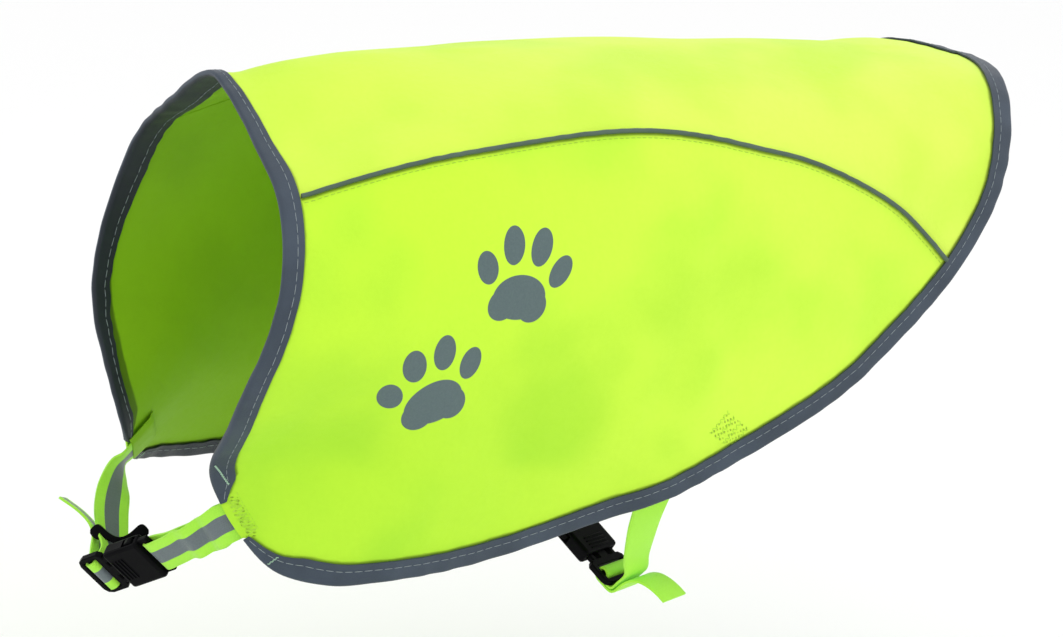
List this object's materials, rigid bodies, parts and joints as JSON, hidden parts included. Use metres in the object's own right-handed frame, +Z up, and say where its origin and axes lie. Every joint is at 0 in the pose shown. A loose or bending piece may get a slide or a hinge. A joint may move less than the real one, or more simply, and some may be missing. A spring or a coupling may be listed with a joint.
{
  "type": "dog safety vest",
  "caption": "High visibility dog vest in its worn shape: neon back and side panels with grey reflective binding and piping, held by a buckled chest strap and belly strap.",
  "frame": {"origin": "inside of the back panel, on the spine at mid length, where the dog's back holds the vest up", "axes": "+X along the spine towards the tail (the neck opening faces -X), +Z up, +Y to the dog's right"},
  "size_m": [0.5238, 0.249, 0.2964],
  "materials": {
    "back_cloth": "matte neon yellow-green polyester",
    "side_cloth": "matte neon yellow-green polyester",
    "grey_tape": "satin grey reflective tape",
    "webbing": "woven neon webbing",
    "black_plastic": "fine grained moulded plastic"
  },
  "bodies": {
    "root": {"back_panel": "back_cloth", "side_panel_left": "side_cloth", "side_panel_right": "side_cloth", "piping_left": "grey_tape", "piping_right": "grey_tape", "neck_binding": "grey_tape", "hem_binding": "grey_tape", "chest_strap_left": "webbing", "chest_strap_right": "webbing", "chest_buckle_socket": "black_plastic", "chest_buckle_plug": "black_plastic", "belly_strap_left": "webbing", "belly_strap_right": "webbing", "belly_buckle_socket": "black_plastic", "belly_buckle_plug": "black_plastic"}
  },
  "joints": []
}
